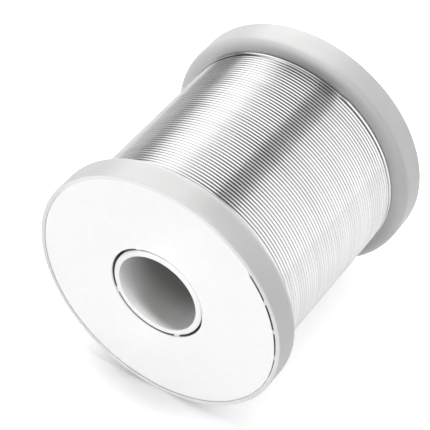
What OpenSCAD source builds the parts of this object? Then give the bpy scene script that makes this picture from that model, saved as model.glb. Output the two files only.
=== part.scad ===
// Reel of solder wire: two ribbed flanges on a plain tube, wound with bright wire.
// The axis lies along Y and the labelled flange faces -Y.
// The reel lies on its two rims, and its middle is the origin.

/* [Reel] */
// Width over the outer ends of both flanges
reel_width = 74.2; // [66:0.1:90]
// Diameter of both flanges
flange_d = 75; // [72:0.5:90]

/* [Tube] */
// Bore that a spindle goes through
bore_d = 24; // [16:0.1:25]
// Wall of the tube
tube_wall = 1.7; // [1.2:0.05:2.2]
// Chamfer on the outer edges of the tube's ends
tube_chamfer = 0.4; // [0.1:0.05:0.5]
// Chamfer on the edges of the bore
bore_chamfer = 0.15; // [0.1:0.05:0.5]

/* [Flange] */
// Length of a rim along the axis
rim_width = 9; // [7:0.1:11]
// Wall of a rim, seen from its end
rim_wall = 1.25; // [1.05:0.05:2]
// Rounding of a rim where it meets the winding side
rim_round = 2.4; // [1:0.1:3]
// Rounding of a rim's outer edge
lip_round = 0.35; // [0.2:0.05:0.9]
// Thickness of the web that holds the winding
web_t = 1.8; // [1.2:0.05:2.6]
// Rounding at the foot of the rim and of the socket
pocket_round = 1; // [0.4:0.1:1.4]
// Number of radial ribs
rib_count = 24; // [16:1:26]
// Turn of the ribs about the axis, up from the X axis
rib_turn = 9; // [0:0.5:22]
// Thickness of a rib at its foot
rib_t = 1.7; // [1:0.05:2]
// Thickness of a rib at its free edge
rib_edge_t = 1.5; // [0.8:0.05:1.8]
// Depth of the ribs' edges, and of the label's bed, below the rim's end
bed_depth = 0.5; // [0.35:0.05:0.8]

/* [Socket] */
// Gap between the tube and the socket round it
socket_gap = 0.75; // [0.5:0.05:0.9]
// Wall of the socket
socket_wall = 1.6; // [1.2:0.05:2.2]
// Width of one of the four small ribs that grip the tube
grip_w = 1.8; // [1.2:0.1:2.6]
// Gap between a grip rib and the tube
grip_clear = 0.05; // [0.02:0.01:0.1]
// Turn of the grip ribs about the axis, up from the X axis
grip_turn = 24; // [0:1:89]
// Hole in the web for the wire's first end
start_hole_d = 2.2; // [1.4:0.1:2.4]
// Web between the socket and that hole
start_hole_land = 1.2; // [0.8:0.1:2]

/* [Label] */
// Thickness of the paper label
label_t = 0.2; // [0.1:0.02:0.3]
// Gap between the label and the rim, if the label were centred
label_margin = 0.35; // [0.35:0.05:1]
// Gap between the label's hole and the tube, if the label were centred
label_hole_margin = 0.65; // [0.4:0.05:1.5]
// How far the label sits off the centre
label_shift = 0.28; // [0:0.02:0.3]
// The side that it sits to, as an angle up from the X axis
label_shift_turn = 200; // [0:5:355]

/* [Winding] */
// Diameter over the wound wire
winding_d = 66.9; // [56:0.1:69]
// Turns of the outer layer, each standing for a few turns of wire
outer_turns = 24; // [16:1:24]
// Gap between neighbouring turns
turn_gap = 0.5; // [0.42:0.02:0.7]
// Gap between the wound wire and each flange
winding_end_clear = 0.15; // [0.1:0.05:0.4]
// Gap between the wound wire and the tube
winding_bore_clear = 0.1; // [0.05:0.05:0.3]
// Gap between the outer turns and the layers below
layer_clear = 0.1; // [0.05:0.05:0.3]

/* [Hidden] */
$fn = 128;

reel_half = reel_width / 2;
flange_r = flange_d / 2;
rim_in_r = flange_r - rim_wall;

bore_r = bore_d / 2;
tube_r = bore_r + tube_wall;
socket_in_r = tube_r + socket_gap;
socket_out_r = socket_in_r + socket_wall;
bed_z = rim_width - bed_depth;
// Ribs are built up to here, and the label's bed then takes them down to one level
uncut_z = rim_width - bed_depth / 2;

// Ribs reach this far into the walls and the web that they join
rib_root = 0.3;
rib_pitch = 360 / rib_count;

grip_count = 4;
start_hole_r = socket_out_r + start_hole_land + start_hole_d / 2;
// Midway between two ribs
start_hole_turn = rib_turn + rib_pitch / 2;

label_r = rim_in_r - label_margin;
label_hole_r = tube_r + label_hole_margin;

winding_r = winding_d / 2;
winding_len = reel_width - 2 * rim_width;

// The outer layer is one strand of six sides, its flats towards its neighbours
STRAND_SIDES = 6;
RINGS = 24;
RING_STEP = 360 / RINGS;
turn_pitch = (winding_len + turn_gap - 2 * winding_end_clear) / (outer_turns + 1);
strand_r = (turn_pitch - turn_gap) / 2 / cos(180 / STRAND_SIDES);
strand_centre_r = winding_r - strand_r;
// The strand runs straight from ring to ring, so its middle dips towards the axis
inner_layers_r = (strand_centre_r - strand_r) * cos(RING_STEP / 2) - layer_clear;

// ---- helpers

// What a rounding of radius r takes off a corner in the first quadrant
module corner_cut(r) {
    difference() {
        square(r + 1);
        circle(r);
    }
}

// A recess of w by h with its two lower corners rounded
module round_footed(w, h, r) {
    difference() {
        square([w, h]);
        translate([r, r])
            rotate(180)
                corner_cut(r);
        translate([w - r, r])
            rotate(-90)
                corner_cut(r);
    }
}

// Turns a piece built along +Z so that it points along -Y, the labelled side
module along_axis() {
    rotate([90, 0, 0])
        children();
}

// ---- flange

// Half section: X is the radius and Y runs from the winding side to the outer end
module flange_section() {
    difference() {
        translate([socket_in_r, 0])
            square([flange_r - socket_in_r, rim_width]);
        translate([flange_r - rim_round, rim_round])
            rotate(-90)
                corner_cut(rim_round);
        translate([flange_r - lip_round, rim_width - lip_round])
            corner_cut(lip_round);
        translate([socket_out_r, web_t])
            round_footed(rim_in_r - socket_out_r, rim_width, pocket_round);
    }
}

// One radial rib, a little thinner towards its free edge, before the bed trims it
module rib() {
    foot_z = web_t - rib_root;
    rib_h = uncut_z - foot_z;
    translate([socket_out_r - rib_root, 0, foot_z])
        rotate([90, 0, 90])
            linear_extrude(rim_in_r - socket_out_r + 2 * rib_root)
                polygon([
                    [-rib_t / 2, 0],
                    [rib_t / 2, 0],
                    [rib_edge_t / 2, rib_h],
                    [-rib_edge_t / 2, rib_h]
                ]);
}

// One small rib inside the socket, its flat tip against the tube
module grip_rib() {
    tip_r = tube_r + grip_clear;
    translate([tip_r, -grip_w / 2, web_t / 2])
        cube([socket_in_r + rib_root - tip_r, grip_w, uncut_z - web_t / 2]);
}

module flange() {
    difference() {
        union() {
            rotate_extrude()
                flange_section();
            for (i = [0 : rib_count - 1])
                rotate(rib_turn + i * rib_pitch)
                    rib();
            for (i = [0 : grip_count - 1])
                rotate(grip_turn + i * 360 / grip_count)
                    grip_rib();
        }
        // The label's bed, sunk inside the rim
        translate([0, 0, bed_z])
            cylinder(h = bed_depth + 1, r = rim_in_r);
        rotate(start_hole_turn)
            translate([start_hole_r, 0, -1])
                cylinder(h = web_t + 2, d = start_hole_d);
    }
}

module near_flange() {
    color([0.92, 0.92, 0.91])
        along_axis()
            translate([0, 0, reel_half - rim_width])
                flange();
}

// The same moulding, turned round
module far_flange() {
    color([0.9, 0.9, 0.89])
        rotate(180)
            along_axis()
                translate([0, 0, reel_half - rim_width])
                    flange();
}

// ---- tube

module core_tube() {
    color([0.95, 0.95, 0.94])
        along_axis()
            rotate_extrude()
                polygon([
                    [bore_r, -reel_half + bore_chamfer],
                    [bore_r + bore_chamfer, -reel_half],
                    [tube_r - tube_chamfer, -reel_half],
                    [tube_r, -reel_half + tube_chamfer],
                    [tube_r, reel_half - tube_chamfer],
                    [tube_r - tube_chamfer, reel_half],
                    [bore_r + bore_chamfer, reel_half],
                    [bore_r, reel_half - bore_chamfer]
                ]);
}

// ---- label

// A blank paper ring that lies on the edges of the near flange's ribs
module face_label() {
    color([0.98, 0.98, 0.98])
        along_axis()
            rotate(label_shift_turn)
                translate([label_shift, 0, reel_half - bed_depth])
                    difference() {
                        cylinder(h = label_t, r = label_r);
                        translate([0, 0, -1])
                            cylinder(h = label_t + 2, r = label_hole_r);
                    }
}

// ---- winding

// All the layers below the outer one, as one plain ring
module solder_inner() {
    ring_len = winding_len - 2 * winding_end_clear;
    color([0.62, 0.63, 0.64])
        along_axis()
            difference() {
                cylinder(h = ring_len, r = inner_layers_r, center = true);
                cylinder(h = ring_len + 2, r = tube_r + winding_bore_clear, center = true);
            }
}

ring_total = outer_turns * RINGS;
wound_half = outer_turns * turn_pitch / 2;
// How much of a step along the axis the strand makes for each step round it
lead = turn_pitch / (2 * PI * strand_centre_r);
unit = 1 / sqrt(1 + lead * lead);

// The strand's way, measured in rings, with one straight diameter at each end
function way_angle(i) = 180 + i * RING_STEP;
function radial(i) = [cos(way_angle(i)), sin(way_angle(i)), 0];
function forward(i) = [-sin(way_angle(i)) * unit, cos(way_angle(i)) * unit, lead * unit];
function on_way(i) = strand_centre_r * radial(i) + [0, 0, i * turn_pitch / RINGS - wound_half];
function centre(i) =
    i < 0 ? on_way(0) - 2 * strand_r * forward(0) :
    i > ring_total ? on_way(ring_total) + 2 * strand_r * forward(ring_total) :
    on_way(i);
function frame_ring(i) = min(max(i, 0), ring_total);
function ring_points(i) =
    let (n = radial(frame_ring(i)), b = cross(forward(frame_ring(i)), n))
    [for (k = [0 : STRAND_SIDES - 1])
        centre(i) + strand_r * (cos(k * 360 / STRAND_SIDES) * n + sin(k * 360 / STRAND_SIDES) * b)];

strand_rings = [for (i = [-1 : ring_total + 1]) ring_points(i)];
last_ring = len(strand_rings) - 1;

function corner(i, k) = i * STRAND_SIDES + k % STRAND_SIDES;
strand_sides = [
    for (i = [0 : last_ring - 1], k = [0 : STRAND_SIDES - 1])
        each [
            [corner(i, k), corner(i, k + 1), corner(i + 1, k)],
            [corner(i, k + 1), corner(i + 1, k + 1), corner(i + 1, k)]
        ]
];
strand_ends = [
    for (k = [1 : STRAND_SIDES - 2])
        each [
            [corner(0, 0), corner(0, k + 1), corner(0, k)],
            [corner(last_ring, 0), corner(last_ring, k), corner(last_ring, k + 1)]
        ]
];

// Least distance between the corners of one turn and those of the next
least_gap = min([
    for (i = [0 : last_ring - RINGS], j = [-1 : 1])
        if (i + RINGS + j <= last_ring)
            for (a = strand_rings[i], b = strand_rings[i + RINGS + j])
                norm(a - b)
]);
echo("least gap of the outer layer to itself, mm", least_gap);

module solder_outer() {
    color([0.8, 0.81, 0.82])
        along_axis()
            polyhedron([for (ring = strand_rings) each ring], concat(strand_sides, strand_ends));
}

near_flange();
far_flange();
core_tube();
face_label();
solder_inner();
solder_outer();
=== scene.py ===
# %% [markdown]
# # A full spool of solder wire
#
# This lesson dresses a spool of solder: two moulded flanges on a plain tube, a blank paper
# label, and fifty-five turns of bright wire in the outer layer. The flanges and the tube
# arrive as finished solids, so they only need a surface. The label arrives as a perfect ring
# and is cut again as a hand-stuck one. The wire arrives as a few thick turns, so it is wound
# again here at its real gauge.
#
# Everything is in metres. The spool's axis lies along Y, the labelled flange faces -Y, Z is
# up, and the origin is the middle of the bore. Angles round the axis count up from +X, so
# the top of the spool is at 90 degrees.

# %% Load the solids
from math import cos, hypot, pi, radians, sin

import bmesh
import bpy
from mathutils import Matrix, Vector


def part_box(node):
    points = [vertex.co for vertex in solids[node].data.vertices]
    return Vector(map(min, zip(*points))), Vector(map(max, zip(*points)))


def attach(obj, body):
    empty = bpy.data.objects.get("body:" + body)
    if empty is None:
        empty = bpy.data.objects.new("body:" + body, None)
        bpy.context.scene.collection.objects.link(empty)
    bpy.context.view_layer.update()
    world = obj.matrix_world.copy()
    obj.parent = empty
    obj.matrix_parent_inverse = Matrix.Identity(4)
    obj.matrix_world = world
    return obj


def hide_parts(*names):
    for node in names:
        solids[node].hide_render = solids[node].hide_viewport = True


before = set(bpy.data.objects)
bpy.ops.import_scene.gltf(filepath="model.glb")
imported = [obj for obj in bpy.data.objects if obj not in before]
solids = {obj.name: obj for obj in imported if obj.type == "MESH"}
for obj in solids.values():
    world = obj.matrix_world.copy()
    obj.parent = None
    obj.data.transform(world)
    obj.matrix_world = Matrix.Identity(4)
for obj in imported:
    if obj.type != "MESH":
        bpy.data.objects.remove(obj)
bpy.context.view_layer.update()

MM = 0.001
print("solids:", ", ".join(sorted(solids)))

# %% [markdown]
# ## Sizes
#
# A wire that is wound on a spool has to share the spool's own sizes. They could be written
# down here a second time, but the two would soon drift apart, so they are measured on the
# solids. The rims and the gap between them give the room for the wire, and the tube gives
# its lower limit.

# %% Measure the solids
def axis_distance(point):
    """How far a point is from the spool's axis."""
    return hypot(point.x, point.z)


def corners(node):
    """The corners of a solid's triangles."""
    return [vertex.co for vertex in solids[node].data.vertices]


# The near flange lies on the -Y half, so its highest corner is at its winding side
flange_low, flange_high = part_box("near_flange")
flange_r = flange_high.x
end_y = flange_low.y
half_width = -end_y
room_for_wire = -2 * flange_high.y
winding_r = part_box("solder_outer")[1].z
tube_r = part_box("core_tube")[1].x
bore_r = min(axis_distance(point) for point in corners("core_tube"))
print(f"room for the wire: {room_for_wire / MM:.1f} mm between the flanges")
print(f"winding: {2 * winding_r / MM:.1f} mm across, on a tube of {2 * tube_r / MM:.1f} mm")
print(f"bore: {2 * bore_r / MM:.1f} mm")

# %% Measure the rim's end, the socket and the label's bed
at_end_y = end_y + 0.01 * MM
past_socket = 0.8 * flange_r
past_grip_ribs = tube_r + 0.3 * MM

flange_radii = [axis_distance(point) for point in corners("near_flange")]
end_radii = [axis_distance(point) for point in corners("near_flange") if point.y < at_end_y]
rim_in_r = min(radius for radius in end_radii if radius > past_socket)
socket_r = min(radius for radius in flange_radii if radius > past_grip_ribs)
label_low, label_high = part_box("face_label")
bed_from_middle = -label_high.y
print(f"inside of the rim: {2 * rim_in_r / MM:.1f} mm, socket: {2 * socket_r / MM:.1f} mm across")
print(f"label's bed: {bed_from_middle / MM:.1f} mm from the middle")

# %% [markdown]
# ## The camera
#
# A long lens from well back keeps the spool's two circles nearly the same size, as a
# product picture does. The camera could be turned by hand until it looks right. Here it is
# placed by its direction from the spool, its distance and a small step aside, because four
# numbers are easy to correct one at a time.

# %% Place the camera
camera_turn = radians(32.963)
camera_rise = radians(43.373)
camera_distance = 13.3087 * flange_r
step_right, step_up = -0.1341 * flange_r, -0.0224 * flange_r

level = cos(camera_rise)
back = Vector((sin(camera_turn) * level, -cos(camera_turn) * level, sin(camera_rise)))
right = Vector((cos(camera_turn), sin(camera_turn), 0))
up = back.cross(right)
camera_place = back * camera_distance + right * step_right + up * step_up

camera_data = bpy.data.cameras.new("camera")
camera_data.lens = 153.4
camera_data.sensor_width = 36
camera = bpy.data.objects.new("camera", camera_data)
facing = Matrix((right, up, back)).transposed().to_4x4()
camera.matrix_world = Matrix.Translation(camera_place) @ facing
bpy.context.scene.collection.objects.link(camera)
bpy.context.scene.camera = camera
print(f"camera: {camera_distance:.3f} m away, lens {camera_data.lens:.0f} mm")

# %% [markdown]
# ## A short way to write node trees
#
# Materials and Geometry Nodes are both trees of nodes. They are usually drawn by hand, but a
# script can be read and run again. One helper adds a node, applies its settings and fills
# its sockets, where a socket takes either a plain value or the output of an earlier node.
# The others do sums, so that a formula stays readable.

# %% Add a node
def add(tree, kind, sockets=None, **settings):
    """Adds a node. sockets maps an input's name or number to a value or to an output."""
    node = tree.nodes.new(kind)
    for name, value in settings.items():
        setattr(node, name, value)
    for key, value in (sockets or {}).items():
        if isinstance(value, bpy.types.NodeSocket):
            tree.links.new(value, node.inputs[key])
        else:
            node.inputs[key].default_value = value
    return node


# %% Do sums
def calc(tree, operation, *values, clamp=False):
    """The output of one Math node."""
    settings = {"operation": operation, "use_clamp": clamp}
    return add(tree, "ShaderNodeMath", dict(enumerate(values)), **settings).outputs[0]


def plus(tree, first, second):
    return calc(tree, "ADD", first, second)


def minus(tree, first, second):
    return calc(tree, "SUBTRACT", first, second)


def over(tree, first, second):
    return calc(tree, "DIVIDE", first, second)


def times(tree, first, *others):
    """first, multiplied by each of the others."""
    for other in others:
        first = calc(tree, "MULTIPLY", first, other)
    return first


def times_plus(tree, first, second, third):
    """first times second, plus third."""
    return calc(tree, "MULTIPLY_ADD", first, second, third)


# %% Let a value come and go
def remap(tree, value, start, end, low=0.0, high=1.0, smooth=True):
    """value goes from low to high as it passes from start to end, and stays there."""
    kind = "SMOOTHSTEP" if smooth else "LINEAR"
    sockets = {"Value": value, "From Min": start, "From Max": end, "To Min": low, "To Max": high}
    return add(tree, "ShaderNodeMapRange", sockets, interpolation_type=kind).outputs[0]


def window(tree, value, rise, fall):
    """1 between two soft edges: value comes in over rise and leaves over fall."""
    return times(tree, remap(tree, value, *rise), remap(tree, value, *fall, 1, 0))


# %% [markdown]
# ## What all the finishes share
#
# Each finish is a Principled shader with something different at every point: a noise, a
# colour that goes over into another, and a very low relief. An image could give these too,
# but it has to be wrapped round the spool and shows a seam. Noise on Object coordinates
# fills space, so it has no seam and stays on the spool when the spool moves.
#
# The spool is round, so most marks are placed by the distance from its axis, the angle
# round it and the place along it.

# %% Start a finish
def new_material(name):
    """A material, its tree, its Principled shader and its Object coordinates."""
    material = bpy.data.materials.new(name)
    material.use_nodes = True
    tree = material.node_tree
    place = add(tree, "ShaderNodeTexCoord").outputs["Object"]
    return material, tree, tree.nodes["Principled BSDF"], place


def noise(tree, place, scale, detail, **others):
    """A cloudy value around 0.5."""
    sockets = {"Vector": place, "Scale": scale, "Detail": detail, **others}
    return add(tree, "ShaderNodeTexNoise", sockets).outputs["Fac"]


def streaks(tree, place, scale, detail):
    """Noise with its own scale along X, Y and Z, so that it becomes streaks."""
    squeezed = add(tree, "ShaderNodeMapping", {"Vector": place, "Scale": scale}).outputs[0]
    return noise(tree, squeezed, 1, detail)


def blend(tree, factor, first, second):
    """A colour that goes from first to second as factor goes from 0 to 1."""
    first, second = ((*end, 1) if isinstance(end, tuple) else end for end in (first, second))
    sockets = {"Factor": factor, "A": first, "B": second}
    return add(tree, "ShaderNodeMix", sockets, data_type="RGBA").outputs["Result"]


def shaded(colour, share):
    """A colour at this share of its brightness."""
    return tuple(share * part for part in colour)


def dress(tree, shader, colour, roughness, height, strength, depth):
    """Joins colour, roughness and a relief of this strength and depth to the shader."""
    bump = add(tree, "ShaderNodeBump", {"Height": height, "Strength": strength, "Distance": depth})
    tree.links.new(colour, shader.inputs["Base Color"])
    tree.links.new(roughness, shader.inputs["Roughness"])
    tree.links.new(bump.outputs[0], shader.inputs["Normal"])


# %% Find a place on the spool
def from_axis(tree, place):
    """The distance from the spool's axis."""
    flat = {0: place, 1: (1, 0, 1)}
    across = add(tree, "ShaderNodeVectorMath", flat, operation="MULTIPLY").outputs[0]
    return add(tree, "ShaderNodeVectorMath", {0: across}, operation="LENGTH").outputs["Value"]


def round_and_along(tree, place):
    """The angle round the axis in degrees, and the place along it."""
    axes = add(tree, "ShaderNodeSeparateXYZ", {"Vector": place}).outputs
    degrees = times(tree, calc(tree, "ARCTAN2", axes["Z"], axes["X"]), 180 / pi)
    return degrees, axes["Y"]


# %% [markdown]
# ## Moulded plastic
#
# The flanges are moulded in a light grey-white plastic with a satin skin. The mould leaves
# a very fine grain, the colour drifts a little where the plastic flowed, and the rim that
# rolls on the bench is rubbed: there the skin is smoother in streaks that run round it.
#
# Painted light and shade are marked on too: the rims have a painted highlight on top and
# painted shade beside it, their ends have painted highlights above and below, the narrow
# socket round the tube has painted shade, and the bore has painted shade away from its
# mouths. Such marks could be painted by hand. Here each is a small function that takes the
# skin so far and gives it back marked, so that the flanges and the tube can share one
# plastic and still be marked in their own ways. Each mark comes and goes over two pairs of
# angles, in degrees, or of distances.

# %% Mark the rims
def painted_band_light(tree, skin, at):
    """Painted light on the outside of a rim: a painted highlight on top and painted shade beside
    it.
    """
    painted_highlight = times(tree, window(tree, at["turned"], (66, 90), (104, 118)), 0.13)
    # Painted shade beside the top of the rim
    dull = times(tree, window(tree, at["turned"], (10, 45), (58, 80)), 0.12)
    value = times_plus(tree, minus(tree, painted_highlight, dull), at["rim"], 1)
    return add(tree, "ShaderNodeHueSaturation", {"Color": skin, "Value": value}).outputs["Color"]


def painted_end_highlight(tree, skin, at):
    """Painted highlights on the end of a rim, stronger above than below."""
    # Painted highlight on the rim's end, above and below
    above = times(tree, window(tree, at["turned"], (48, 68), (125, 150)), 0.7)
    below = times(tree, window(tree, at["turned"], (-135, -115), (-60, -35)), 0.4)
    at_end = remap(tree, at["middle"], half_width - 1.2 * MM, half_width - 0.2 * MM)
    comes = (rim_in_r, rim_in_r + 0.2 * MM)
    goes = (flange_r - 0.6 * MM, flange_r - 0.1 * MM)
    on_end = times(tree, at_end, window(tree, at["radius"], comes, goes))
    end_highlight = times(tree, plus(tree, above, below), on_end)
    return blend(tree, end_highlight, skin, (0.9, 0.9, 0.895))


# %% Paint shade into the socket and the bore
def painted_socket_shade(tree, skin, at):
    """Painted shade in the socket, up to the label's bed."""
    in_socket = remap(tree, at["radius"], socket_r + 0.05 * MM, socket_r + 0.15 * MM, 1, 0)
    deeper = (bed_from_middle - 0.15 * MM, bed_from_middle - 0.05 * MM)
    below_bed = remap(tree, at["middle"], *deeper, 1, 0)
    cloudy = remap(tree, at["drift"], 0.2, 0.8, 0.85, 1.0)
    # Painted shade, darkest down in the socket
    socket_shade = times(tree, in_socket, below_bed, cloudy)
    return blend(tree, socket_shade, skin, shaded(at["colour"], 0.22))


def painted_bore_shade(tree, skin, at):
    """Painted shade inside the bore, darker away from its mouths."""
    deep = remap(tree, at["middle"], 22 * MM, 32 * MM, 1, 0)
    inside = remap(tree, at["radius"], bore_r + 0.2 * MM, bore_r + 0.4 * MM, 1, 0)
    cloudy = remap(tree, at["drift"], 0.2, 0.8, 0.9, 1.0)
    # Painted shade deep in the bore
    bore_shade = times(tree, deep, inside, cloudy)
    return blend(tree, bore_shade, skin, shaded(at["colour"], 0.41))


# %% Make the moulded plastic
def plastic(name, colour, rubbed_from, marks):
    """Satin moulded plastic, rubbed outside a radius, with these marks on it."""
    material, tree, shader, place = new_material(name)
    turned, along = round_and_along(tree, place)
    radius = from_axis(tree, place)
    rim = remap(tree, radius, rubbed_from - 0.3 * MM, rubbed_from)
    drift = noise(tree, place, 60, 3)
    at = {
        "turned": turned,
        "middle": calc(tree, "ABSOLUTE", along),
        "radius": radius,
        "rim": rim,
        "drift": drift,
        "colour": colour,
    }

    # The colour drifts softly all over, and in streaks where the rim is scuffed
    scuff = minus(tree, streaks(tree, place, (30, 2200, 30), 3), 0.5)
    shade = times_plus(tree, scuff, times(tree, rim, 1.6), remap(tree, drift, 0.3, 0.7))
    skin = blend(tree, shade, shaded(colour, 0.94), colour)
    for mark in marks:
        skin = mark(tree, skin, at)

    # Scratches are long round the axis, so their noise is squeezed along Y only
    scratch = streaks(tree, place, (250, 5000, 250), 4)
    rubbed = times(tree, remap(tree, scratch, 0.45, 0.65), rim)
    roughness = times_plus(tree, rubbed, -0.12, remap(tree, drift, 0.3, 0.7, 0.4, 0.47))
    height = times_plus(tree, scratch, times(tree, rim, 0.6), noise(tree, place, 5000, 2))
    dress(tree, shader, skin, roughness, height, strength=0.12, depth=0.02 * MM)
    shader.inputs["IOR"].default_value = 1.49
    return material


# %% Finish the flanges and the tube
# The flanges get painted highlights and painted shade, and the tube gets painted shade in its bore
flange_marks = [painted_band_light, painted_end_highlight, painted_socket_shade]
flange_plastic = plastic("flange_plastic", (0.72, 0.72, 0.715), flange_r - 0.1 * MM, flange_marks)
tube_plastic = plastic("tube_plastic", (0.9, 0.9, 0.892), flange_r, [painted_bore_shade])
finishes = {"near_flange": flange_plastic, "far_flange": flange_plastic, "core_tube": tube_plastic}
for node, material in finishes.items():
    solids[node].data.materials.clear()
    solids[node].data.materials.append(material)
print("plastic:", flange_plastic.name, tube_plastic.name)

# %% [markdown]
# ## The paper label
#
# The label is a blank ring of coated paper. Plain white would do from far off, but coated
# paper is smooth without being even: its fibres show as a faint cloud in the colour, and its
# skin has a very low, broad relief. A twisted noise looks more like fibres than a plain one.

# %% Make the label's paper
label_paper, tree, shader, place = new_material("label_paper")
cloud = noise(tree, place, 350, 5)
fibre = noise(tree, place, 4000, 3, Distortion=1.5)
paper = blend(tree, remap(tree, cloud, 0.3, 0.7), (0.9, 0.9, 0.897), (0.915, 0.915, 0.915))
roughness = remap(tree, fibre, 0.3, 0.7, 0.5, 0.6)
dress(tree, shader, paper, roughness, fibre, strength=0.1, depth=0.01 * MM)
print("paper:", label_paper.name)

# %% [markdown]
# ## Bright solder
#
# Solder wire is drawn through a die, so its skin is a soft mirror with hair-fine streaks
# along its length. Anisotropic shading could imitate them from afar. Real streaks hold up
# close by, but they need a coordinate that runs along the wire. Geometry Nodes will store
# one, called along, and the other two coordinates come from the wire's place.
#
# A second stored value, called rise, is 1 on the wire's crest and falls towards the groove
# between two turns, which is painted darker as shade. The painted shade in the grooves is not
# equally dark all round, and two places near the layer's far end are painted darker too.

# %% Find where shade is painted on the wire
def painted_wire_shade(tree, turned, along):
    """How far the layer is painted darker as shade, in a long patch and a short one."""
    long_patch = window(tree, turned, (112, 120), (128, 137))
    short_patch = window(tree, turned, (60, 67), (86, 102))
    return plus(
        tree,
        times(tree, long_patch, remap(tree, along, -6 * MM, 28 * MM, 0.0, 0.62)),
        times(tree, short_patch, remap(tree, along, 22 * MM, 26.5 * MM, 0.0, 0.7)),
    )


def painted_groove_shade(tree, turned, along):
    """The grooves' painted shade, and 1 where the turns cross and it is darkest."""
    on_top = window(tree, turned, (86, 95), (104, 110))
    low_down = window(tree, turned, (-8, 6), (18, 30))
    beside_top = window(tree, turned, (108, 113), (116, 124))
    at_crossing = window(tree, turned, (57, 64), (86, 106))
    deepest = times(tree, at_crossing, remap(tree, along, 8 * MM, 22 * MM))
    least_shaded = plus(tree, on_top, low_down)
    tone = 0.36
    for where, change in ((deepest, -0.26), (beside_top, -0.22), (least_shaded, 0.28)):
        tone = times_plus(tree, where, change, tone)
    return tone, deepest


# %% Make the solder
bright, duller = (0.73, 0.733, 0.736), (0.64, 0.643, 0.646)
# The darkest grey is painted shade on the layer near its far end
painted_shade_grey = (0.25, 0.25, 0.252)

solder_wire, tree, shader, place = new_material("solder_wire")
turned, along_axis = round_and_along(tree, place)
along_wire = add(tree, "ShaderNodeAttribute", attribute_name="along").outputs["Fac"]
lengthwise = {
    "X": times(tree, along_wire, 120),
    "Y": times(tree, along_axis, 9000),
    "Z": times(tree, from_axis(tree, place), 9000),
}
streak = noise(tree, add(tree, "ShaderNodeCombineXYZ", lengthwise).outputs[0], 1, 3)
dull = streaks(tree, place, (22, 750, 22), 3)
metal = blend(tree, remap(tree, dull, 0.35, 0.75), bright, duller)
# Two patches near the far end are painted darker, as painted shade
metal = blend(tree, painted_wire_shade(tree, turned, along_axis), metal, painted_shade_grey)

# The grooves between the turns are painted darker as shade, lighter on top and low down
groove, deepest = painted_groove_shade(tree, turned, along_axis)
rise = add(tree, "ShaderNodeAttribute", attribute_name="rise").outputs["Fac"]
in_groove = remap(tree, rise, 0.4, times_plus(tree, deepest, 0.1, 0.75), 1, 0)
metal = blend(tree, in_groove, metal, groove)
roughness = times_plus(tree, streak, 0.06, remap(tree, dull, 0.35, 0.75, 0.08, 0.11))
dress(tree, shader, metal, roughness, streak, strength=0.05, depth=0.01 * MM)
shader.inputs["Metallic"].default_value = 1
print("solder:", solder_wire.name)

# %% [markdown]
# ## A Geometry Nodes modifier that becomes a plain mesh
#
# The label and the wire follow rules, so they are made with Geometry Nodes. A tree takes its
# sizes through named inputs, so that one tree can make any label or any winding. The
# modifier could stay on its object and be worked out again each time. A plain mesh is safer
# to hand on, so the evaluated result is copied to one, and the object that carried the
# modifier is thrown away. The modifier stores its inputs under each socket's identifier, so
# the helper looks that up by name.

# %% Begin and end a tree
def new_tree(name, sizes):
    """A Geometry Nodes tree with one float or whole-number input for each size."""
    tree = bpy.data.node_groups.new(name, "GeometryNodeTree")
    for label, default in sizes.items():
        kind = "NodeSocketInt" if isinstance(default, int) else "NodeSocketFloat"
        socket = tree.interface.new_socket(label, in_out="INPUT", socket_type=kind)
        socket.default_value = default
    tree.interface.new_socket("Geometry", in_out="OUTPUT", socket_type="NodeSocketGeometry")
    return tree, tree.nodes.new("NodeGroupInput").outputs


def then(tree, kind, geometry, **sockets):
    """The geometry after one more node that works on it."""
    name = "Curve" if "Curve" in kind else "Geometry"
    return add(tree, kind, {name: geometry, **sockets}).outputs[0]


def store(tree, geometry, name, value):
    """Keeps a value at each point under this name, for a material or a later node."""
    return then(tree, "GeometryNodeStoreNamedAttribute", geometry, Name=name, Value=value)


def end_tree(tree, geometry, material):
    """Ends a tree: no instances and one material."""
    whole = then(tree, "GeometryNodeRealizeInstances", geometry)
    painted = then(tree, "GeometryNodeSetMaterial", whole, Material=material)
    add(tree, "NodeGroupOutput", {"Geometry": painted})


# %% Run a tree
def build(name, tree, **sizes):
    """Runs a tree with these sizes and returns the result as a plain mesh object."""
    carrier = bpy.data.objects.new(name + "_carrier", bpy.data.meshes.new(name + "_carrier"))
    bpy.context.scene.collection.objects.link(carrier)
    modifier = carrier.modifiers.new("nodes", "NODES")
    modifier.node_group = tree
    for item in tree.interface.items_tree:
        if item.in_out == "INPUT" and item.name in sizes:
            modifier[item.identifier] = sizes[item.name]
    evaluated = carrier.evaluated_get(bpy.context.evaluated_depsgraph_get())
    mesh = bpy.data.meshes.new_from_object(evaluated)
    mesh.name = name
    bpy.data.objects.remove(carrier)
    piece = bpy.data.objects.new(name, mesh)
    bpy.context.scene.collection.objects.link(piece)
    mesh.calc_loop_triangles()
    print(f"{name}: {len(mesh.loop_triangles)} triangles")
    return piece


# %% Roll a grid into a ring
def ring_grid(tree, rows, steps):
    """A flat grid, with each point's row and the angle it will have in the ring."""
    sockets = {"Size X": 1, "Size Y": 1, "Vertices X": plus(tree, steps, 1), "Vertices Y": rows}
    grid = add(tree, "GeometryNodeMeshGrid", sockets).outputs[0]
    index = add(tree, "GeometryNodeInputIndex").outputs[0]
    row = calc(tree, "MODULO", index, rows)
    column = calc(tree, "FLOOR", over(tree, plus(tree, index, 0.5), rows))
    return grid, row, times(tree, over(tree, column, steps), 2 * pi)


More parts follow.
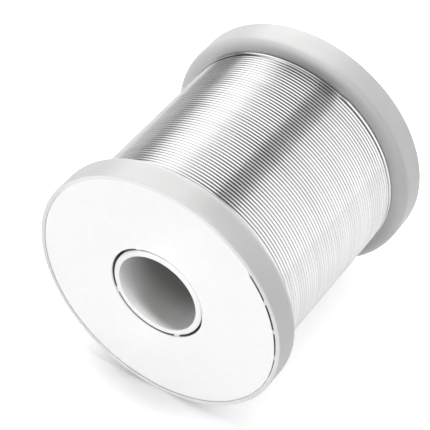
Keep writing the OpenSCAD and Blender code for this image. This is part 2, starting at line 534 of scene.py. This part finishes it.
def put(tree, geometry, x, y, z):
    """Moves each point to its place."""
    spot = add(tree, "ShaderNodeCombineXYZ", {"X": x, "Y": y, "Z": z}).outputs[0]
    return add(tree, "GeometryNodeSetPosition", {"Geometry": geometry, "Position": spot}).outputs[0]


def close_seam(tree, ring):
    """Merges the first column and row of a rolled grid with the last."""
    return then(tree, "GeometryNodeMergeByDistance", ring, Distance=0.001 * MM)


# %% [markdown]
# ## The label, cut by hand
#
# A real label is cut on a worn die and stuck down by eye: it nearly touches the rim most of
# the way round, but on one side it is trimmed short, and the ribs of the flange show in the
# slot that is left. Its hole is not quite on the axis either, and not quite round, so it
# uncovers the socket on some sides more than on others.
#
# Cutting it with booleans would leave ragged triangles. Instead a grid is rolled into a thin
# closed ring, whose hole is a circle that is cut in on one side and out on another, and
# whose edge is a larger circle with a piece trimmed off.

# %% Begin the label's ring
label_sizes = {
    "rows": 12,
    "steps": 240,
    "hole": 14 * MM,
    "hole_x": 0.0,
    "hole_z": 0.0,
    "snug": 0.0,
    "loose": 0.0,
    "edge": 36 * MM,
    "trim": 0.0,
    "trim_from": 0.0,
    "trim_to": 1.0,
    "front": -36.8 * MM,
    "back": -36.6 * MM,
}
label_tree, size = new_tree("cut_label", label_sizes)
t = label_tree
ring_rows = plus(t, times(t, size["rows"], 2), 3)
grid, row, angle = ring_grid(t, ring_rows, size["steps"])

# The rows go out over the front, back over the rear, and end where they began
past_edge = calc(t, "GREATER_THAN", row, plus(t, size["rows"], 0.5))
before_end = calc(t, "LESS_THAN", row, minus(t, ring_rows, 1.5))
is_back = times(t, past_edge, before_end)
going_out = over(t, row, size["rows"])
going_back = over(t, minus(t, minus(t, ring_rows, 2), row), size["rows"])
outward = calc(t, "MAXIMUM", calc(t, "MINIMUM", going_out, going_back), 0)
print("label:", 2 * label_sizes["rows"] + 3, "rows,", label_sizes["steps"], "steps round")

# %% Shape the label's edge and its hole
trim_comes, trim_goes = 0.95, 0.08  # in radians, before and after the trimmed side
half_turned = calc(t, "WRAP", angle, pi, -pi)
trim_comes_in = remap(t, half_turned, minus(t, size["trim_from"], trim_comes), size["trim_from"])
trim_goes_out = remap(t, half_turned, size["trim_to"], plus(t, size["trim_to"], trim_goes), 1, 0)
trimmed = times(t, trim_comes_in, trim_goes_out)
edge_r = minus(t, size["edge"], times(t, trimmed, size["trim"]))

# The hole is cut in round 52 degrees and cut out round -45 degrees
hole_r = size["hole"]
for cut, where, starts_at, full_at in (("snug", 52, 0.3, 0.7), ("loose", -45, 0.75, 0.95)):
    facing = calc(t, "COSINE", minus(t, angle, radians(where)))
    hole_r = times_plus(t, remap(t, facing, starts_at, full_at), size[cut], hole_r)


# %% Put the label's points in place
def side(turned_by, middle):
    """How far a point is to one side: at the hole when outward is 0, at the edge when 1."""
    swing = calc(t, turned_by, angle)
    at_hole = times_plus(t, swing, hole_r, size[middle])
    return remap(t, outward, 0, 1, at_hole, times(t, swing, edge_r), smooth=False)


x, z = side("COSINE", "hole_x"), side("SINE", "hole_z")
y = remap(t, is_back, 0, 1, size["front"], size["back"], smooth=False)
end_tree(t, close_seam(t, put(t, grid, x, y, z)), label_paper)

# %% Cut the label
label_middle = (label_low + label_high) / 2
hole_points = (point - label_middle for point in corners("face_label"))
label_hole_r = min(axis_distance(point) for point in hole_points)

cut_label = build(
    "cut_label",
    label_tree,
    hole=label_hole_r,
    hole_x=label_middle.x,
    hole_z=label_middle.z,
    snug=-0.2 * MM,
    loose=0.2 * MM,
    edge=rim_in_r - 0.07 * MM,
    trim=0.85 * MM,
    trim_from=radians(22),
    trim_to=radians(37),
    front=label_low.y,
    back=label_high.y,
)
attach(cut_label, "root")
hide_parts("face_label")

# %% [markdown]
# ## The outer layer of wire
#
# The real layer is one wire, laid turn against turn from one flange to the other. A stack of
# rings would look much the same from the side, but the turns could not cross, so the layer
# is one curve here too. A straight line is cut into equal steps, and each step is moved to
# its place by its turn number.
#
# A wound layer is not a plain helix: each turn lies square to the axis most of the way
# round, and crosses to its next place at the start. At the far flange there is no next
# place, so the last turn climbs onto the one before it. A slow wander in radius and two ends
# that dive under the layer make it a wound wire and not a spring.

# %% Cut the line into steps
wire_d = 1.0 * MM
wire_centre_r = winding_r - wire_d / 2
layer_width = room_for_wire - 0.1 * MM

wire_sizes = {
    "turns": 10.0,
    "steps": 100,
    "sides": 14,
    "wire": wire_d,
    "radius": wire_centre_r,
    "width": 50 * MM,
    "start": 0.0,
    "cross": 0.1,
    "climb": 0.0,
    "wander": 0.0,
    "dive": wire_d,
}
wire_tree, size = new_tree("wound_wire", wire_sizes)
t = wire_tree
count = plus(t, times(t, size["turns"], size["steps"]), 1)
line = add(t, "GeometryNodeCurvePrimitiveLine", {"End": (0, 1, 0)}).outputs[0]
line = then(t, "GeometryNodeResampleCurve", line, Count=count)
part = add(t, "GeometryNodeSplineParameter").outputs["Factor"]
turns_done = times(t, part, size["turns"])
turns_left = minus(t, size["turns"], turns_done)
angle = times_plus(t, turns_done, 2 * pi, size["start"])
print(f"wire: {wire_d / MM:.1f} mm thick, its centre {wire_centre_r / MM:.2f} mm from the axis")

# %% Find each step's place along the axis
# A turn crosses to its next place at its start, and then lies square to the axis
layer_left = calc(t, "MAXIMUM", minus(t, turns_left, 1), 0)
crossing = remap(t, calc(t, "FRACT", layer_left), minus(t, 1, size["cross"]), 1.0)
places_left = plus(t, calc(t, "FLOOR", layer_left), crossing)
run = minus(t, size["width"], size["wire"])
pitch = over(t, run, minus(t, calc(t, "FLOOR", size["turns"]), 1))
y = times_plus(t, times(t, pitch, places_left), -1, times(t, run, 0.5))

# %% Find each step's distance from the axis
# The last turn climbs, most of all round 120 degrees and least on the opposite side
unevenly = times_plus(t, calc(t, "COSINE", minus(t, angle, radians(120))), 0.45, 0.55)
climbing = times(t, remap(t, turns_left, 0.84, 1.0, 1, 0), unevenly)
climbed = times(t, climbing, size["climb"])

# Both ends go one dive deeper, the last one steeply
diving_in = remap(t, turns_done, 0.0, 0.2, 1, 0)
diving_out = remap(t, turns_left, 0.0, 0.02, 1, 0)
buried = times(t, plus(t, diving_in, diving_out), size["dive"])

# The wander's noise is read on a circle that moves on a little with each turn
cosine, sine = calc(t, "COSINE", angle), calc(t, "SINE", angle)
on_circle = {"X": cosine, "Y": times(t, turns_done, 0.37), "Z": sine}
wander = noise(t, add(t, "ShaderNodeCombineXYZ", on_circle).outputs[0], 2.5, 2)
wandered = times(t, minus(t, wander, 1.0), size["wander"])
radius = minus(t, plus(t, plus(t, size["radius"], climbed), wandered), buried)

# %% Give the line its thickness
line = put(t, line, times(t, radius, cosine), y, times(t, radius, sine))
line = store(t, line, "along", times(t, angle, size["radius"]))
line = store(t, line, "centre", radius)
half_wire = times(t, size["wire"], 0.5)
circle = {"Resolution": size["sides"], "Radius": half_wire}
profile = add(t, "GeometryNodeCurvePrimitiveCircle", circle).outputs[0]
sweep = {"Curve": line, "Profile Curve": profile, "Fill Caps": True}
tube = add(t, "GeometryNodeCurveToMesh", sweep).outputs[0]

# rise is 1 on the wire's crest, 0 on its flanks and -1 underneath
point = add(t, "GeometryNodeInputPosition").outputs[0]
centre = add(t, "GeometryNodeInputNamedAttribute", {"Name": "centre"}).outputs["Attribute"]
rise = over(t, minus(t, from_axis(t, point), centre), half_wire)
end_tree(t, store(t, tube, "rise", rise), solder_wire)

# %% Wind the outer layer
# All but the last turn lie in the layer, and the wire ends 65 degrees up from +X
turns = 55.75
last_step_at = radians(65)
outer_wire = build(
    "outer_wire",
    wire_tree,
    turns=turns,
    steps=98,
    sides=14,
    width=layer_width,
    start=last_step_at - 2 * pi * turns,
    cross=0.135,
    climb=0.6 * MM,
    wander=0.05 * MM,
)
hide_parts("solder_outer")

# %% [markdown]
# ## The layers below
#
# Only slivers of the next layer show, at the bottom of the grooves, but the spool is full
# of wire. Winding every layer would cost over a million triangles that nobody sees, so the
# layers below are one solid ring whose skin is ribbed like the turns of a layer. A grid is
# rolled into the ring: its columns go round the axis, its rows follow the half section, and
# the seam is merged afterwards.

# %% Lay out the half section
lower_sizes = {
    "turns": 54,
    "arc": 6,
    "steps": 90,
    "wire": wire_d,
    "outer": 30 * MM,
    "inner": 10 * MM,
    "width": 50 * MM,
}
lower_tree, size = new_tree("lower_layers", lower_sizes)
t = lower_tree
rows = plus(t, times(t, size["turns"], size["arc"]), 4)
grid, row, angle = ring_grid(t, rows, size["steps"])
last_row = minus(t, rows, 1)
step = minus(t, row, 1)

# The first row and the last two lie on the tube, so the section closes on itself
is_first = calc(t, "LESS_THAN", row, 0.5)
is_inner = plus(t, is_first, calc(t, "GREATER_THAN", row, minus(t, last_row, 1.5)))
part_across = calc(t, "DIVIDE", step, minus(t, rows, 4), clamp=True)
across = times(t, part_across, calc(t, "LESS_THAN", row, minus(t, last_row, 0.5)))
print("lower layers:", lower_sizes["turns"], "ribs,", lower_sizes["steps"], "steps round")

# %% Rib the skin and roll the ring
ribs_depth = 1.9  # 2 would take the grooves down to half the wire's thickness
about_r = 30 * MM
in_turn = minus(t, calc(t, "FRACT", over(t, step, size["arc"])), 0.5)
squared = calc(t, "POWER", times(t, in_turn, ribs_depth), 2)
sag = minus(t, 1, calc(t, "SQRT", minus(t, 1, squared)))
ribbed = minus(t, size["outer"], times(t, sag, times(t, size["wire"], 0.5)))
on_skin = times(t, minus(t, 1, is_inner), ribbed)
radius = plus(t, on_skin, times(t, is_inner, size["inner"]))

x = times(t, radius, calc(t, "COSINE", angle))
y = times(t, minus(t, across, 0.5), size["width"])
z = times(t, radius, calc(t, "SINE", angle))
ring = put(t, grid, x, y, z)
ring = store(t, ring, "along", times(t, angle, about_r))
ring = store(t, ring, "rise", minus(t, 1, sag))
ring = then(t, "GeometryNodeSetShadeSmooth", close_seam(t, ring))
end_tree(t, ring, solder_wire)

# %% Build the lower layers
lower_wire = build(
    "lower_wire",
    lower_tree,
    outer=wire_centre_r - 0.36 * wire_d,
    inner=tube_r + 0.1 * MM,
    width=layer_width,
)
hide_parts("solder_inner")

for piece in (outer_wire, lower_wire):
    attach(piece, "root")

# %% [markdown]
# ## Floor and surroundings
#
# The spool lies on a white sheet in a white tent. More light would bring the sheet up to
# white, but it would bleach the spool as well. So the floor takes the spool's shadow as any
# surface does, and where the camera or a mirror sees it, it also glows a little. It glows
# more far from the spool, where the lamps no longer reach. At the foot of the labelled
# flange it glows less, which paints a shadow where the spool touches the sheet. The world
# glows in the same way.

# %% Lay the floor
reach, floor_z = 3.0, -flange_r
around = ((-1, -1), (1, -1), (1, 1), (-1, 1))
floor_corners = [(reach * x, reach * y, floor_z) for x, y in around]
floor_mesh = bpy.data.meshes.new("floor")
floor_mesh.from_pydata(floor_corners, [], [(0, 1, 2, 3)])
floor = bpy.data.objects.new("floor", floor_mesh)
bpy.context.scene.collection.objects.link(floor)
print(f"floor: at {floor_z / MM:.1f} mm, {2 * reach:.0f} m across")


# %% Tell the rays apart
def ray_kinds(tree):
    """1 for rays from the camera, and 1 for rays that a mirror or glass sends on."""
    path = add(tree, "ShaderNodeLightPath").outputs
    mirror = calc(tree, "MAXIMUM", path["Is Glossy Ray"], path["Is Transmission Ray"])
    return path["Is Camera Ray"], mirror


# %% Let the floor glow
floor_white, tree, shader, place = new_material("floor_white")
seen, mirrored = ray_kinds(tree)

# In the metal the floor is darker to the left and grows lighter to the right, in three steps
x = add(tree, "ShaderNodeSeparateXYZ", {"Vector": place}).outputs["X"]
mirror_glow = remap(tree, x, -0.05, 0.05, 0.15, 0.36)
for starts, ends, more in ((0.055, 0.12, 0.1), (0.2, 0.5, 0.22)):
    mirror_glow = plus(tree, mirror_glow, remap(tree, x, starts, ends, 0.0, more))

# To the camera it grows lighter far out, and a painted shadow darkens an oval at the near flange's
# foot
away = add(tree, "ShaderNodeVectorMath", {0: place}, operation="LENGTH").outputs["Value"]
squeeze = 1.75
foot = {"Vector": place, "Location": (2 * MM, squeeze * half_width, 0), "Scale": (1, squeeze, 0)}
from_foot = add(tree, "ShaderNodeMapping", foot).outputs[0]
from_foot = add(tree, "ShaderNodeVectorMath", {0: from_foot}, operation="LENGTH").outputs["Value"]
shadow = remap(tree, from_foot, 3 * MM, 27 * MM, 0.37, 0.0)
seen_glow = minus(tree, remap(tree, away, 0.3, 1.4, 0.6, 0.9), shadow)

floor_glow = times_plus(tree, seen, seen_glow, times(tree, mirrored, mirror_glow))
tree.links.new(floor_glow, shader.inputs["Emission Strength"])
shader.inputs["Emission Color"].default_value = (1, 1, 1, 1)
shader.inputs["Base Color"].default_value = (0.82, 0.82, 0.82, 1)
shader.inputs["Roughness"].default_value = 0.9
shader.inputs["Specular IOR Level"].default_value = 0
floor_mesh.materials.append(floor_white)
print("floor's finish:", floor_white.name)

# %% Put up the tent
world = bpy.data.worlds.new("white_tent")
bpy.context.scene.world = world
world.use_nodes = True
tree = world.node_tree
seen_or_mirrored = calc(tree, "MAXIMUM", *ray_kinds(tree))
tent_light, tent_white = 0.28, 1.0
strength = remap(tree, seen_or_mirrored, 0, 1, tent_light, tent_white, smooth=False)
glow = tree.nodes["Background"]
glow.inputs["Color"].default_value = (1, 1, 1, 1)
tree.links.new(strength, glow.inputs["Strength"])
print(f"tent: lights with {tent_light}, shows as {tent_white}")

# %% [markdown]
# ## Lamps
#
# Three large soft lamps light the spool: one overhead, a low strip in front that fills the
# label, and one behind. Small lamps would give hard shadows that a tent never has. Their
# strength is set so that a surface that faces them shows its own colour, and no more.
# Narrow slits graze the mouth of the bore, so that the light fades into it softly.

# %% Hang the lamps
def soft_lamp(name, place, target, size, watts):
    """A flat lamp of this width and height, at place and facing target."""
    data = bpy.data.lights.new(name, "AREA")
    data.shape = "RECTANGLE"
    data.size, data.size_y = size
    data.energy = watts
    lamp = bpy.data.objects.new(name, data)
    lamp.location = place
    lamp.rotation_euler = (Vector(place) - Vector(target)).to_track_quat("Z", "Y").to_euler()
    bpy.context.scene.collection.objects.link(lamp)
    lamp.visible_glossy = False
    return lamp


middle = (0, 0, 0)
soft_lamp("lamp_over", (-0.1, 0.25, 0.92), middle, (0.9, 0.9), 7.2)
soft_lamp("lamp_front", (-0.06, -0.98, 0.03), middle, (0.32, 0.13), 4.9)
soft_lamp("lamp_back", (0.15, 0.95, 0.35), middle, (0.6, 0.6), 4.0)

# %% Graze the bore's mouth
slit_distance = 0.31
slit_size = (2 * MM, 26 * MM)
# Each slit's slope out of the mouth's plane, its rise in degrees and its microwatts: a
# steeper one reaches further in
slits = [
    (0.045, 50, 38),
    (0.07, 50, 42),
    (0.105, 50, 55),
    (0.16, 35, 25),
    (0.21, 35, 20),
    (0.27, 35, 14),
    (0.34, 35, 10),
]
for number, (slope, rise, microwatts) in enumerate(slits):
    x, z = slit_distance * cos(radians(rise)), slit_distance * sin(radians(rise))
    place = (x, end_y - slit_distance * slope, z)
    slit = soft_lamp(f"lamp_slit_{number}", place, (0, end_y, 0), slit_size, microwatts * 1e-6)
    slit.data.spread = radians(1.2)
print("lamps: 3 large ones and", len(slits), "slits")

# %% [markdown]
# ## What the metal mirrors
#
# Bright wire shows its surroundings, so they matter more than its own colour. A picture of a
# studio could be wrapped round the scene, but a few grey cards do the same and need no file.
# They are built as a dome round the spool, whose tone changes with the angle round the
# spool's axis. There is one set of tones in front and one behind, so each turn of wire has a
# light crest and a darker flank. The dome is seen only in reflections, so all it adds to the
# plastic is a faint sheen.

# %% Build the dome
dome_mesh = bpy.data.meshes.new("dome")
shape = bmesh.new()
bmesh.ops.create_uvsphere(shape, u_segments=96, v_segments=48, radius=0.4)
shape.to_mesh(dome_mesh)
shape.free()
dome = bpy.data.objects.new("dome", dome_mesh)
bpy.context.scene.collection.objects.link(dome)
for ray in ("camera", "diffuse", "shadow", "transmission", "volume_scatter"):
    setattr(dome, "visible_" + ray, False)
print("dome:", len(dome_mesh.polygons), "faces")

# %% Choose the cards' tones
# Each tone stands at an angle from -90, below the spool, round to 270 degrees
front_tones = [
    (-90, 0.4), (-10, 0.42), (20, 0.395), (58, 0.4), (63, 0.28), (69, 0.21), (80, 0.165),
    (84, 0.36), (89, 0.39), (100, 0.44), (118, 0.385), (128, 0.4), (137, 0.4), (146, 0.31),
    (152, 0.11), (158, 0.06), (163, 0.14), (169, 0.17), (176, 0.155), (184, 0.27), (270, 0.36),
]
back_tones = [
    (-90, 0.34), (-20, 0.3), (10, 0.29), (40, 0.22), (60, 0.03), (70, 0.0), (106, 0.0),
    (116, 0.06), (132, 0.42), (139, 0.52), (150, 0.5), (157, 0.42), (164, 0.28), (170, 0.09),
    (176, 0.08), (186, 0.26), (270, 0.36),
]


def tone_ramp(tree, value, tones):
    """Grey tones along a value that goes from 0 to 1 with the angle."""
    ramp = add(tree, "ShaderNodeValToRGB", {"Fac": value})
    stops = ramp.color_ramp.elements
    while len(stops) < len(tones):
        stops.new(1.0)
    for stop, (degrees, tone) in zip(stops, tones):
        stop.position = (degrees + 90) / 360
        stop.color = (tone, tone, tone, 1)
    return ramp.outputs[0]


print("cards:", len(front_tones), "tones in front and", len(back_tones), "behind")

# %% Hang the cards
dome_tones = bpy.data.materials.new("dome_tones")
dome_tones.use_nodes = True
tree = dome_tones.node_tree
tree.nodes.clear()
place = add(tree, "ShaderNodeTexCoord").outputs["Object"]
way = add(tree, "ShaderNodeVectorMath", {0: place}, operation="NORMALIZE").outputs[0]
axes = add(tree, "ShaderNodeSeparateXYZ", {"Vector": way}).outputs
turned = calc(tree, "WRAP", calc(tree, "ARCTAN2", axes["Z"], axes["X"]), 1.5 * pi, -0.5 * pi)
part_turned = over(tree, plus(tree, turned, pi / 2), 2 * pi)

# 1 where the way points to the front or straight up, 0 where it points well to the back
in_front = remap(tree, axes["Y"], 0.2, 0.43, 1.0, 0.0)
cards = [tone_ramp(tree, part_turned, tones) for tones in (back_tones, front_tones)]
card_strength = 4.0
cards_glow = {"Color": blend(tree, in_front, *cards), "Strength": card_strength}
glow = add(tree, "ShaderNodeEmission", cards_glow)
add(tree, "ShaderNodeOutputMaterial", {"Surface": glow.outputs[0]})
dome_mesh.materials.append(dome_tones)
print("dome's finish:", dome_tones.name)

# %% [markdown]
# ## Colours as they are
#
# Blender can bend colours as film does, which suits bright outdoor scenes but turns white
# plastic grey. The Standard view shows each colour as it is written.

# %% Choose the view
bpy.context.scene.view_settings.view_transform = "Standard"
print("view:", bpy.context.scene.view_settings.view_transform)
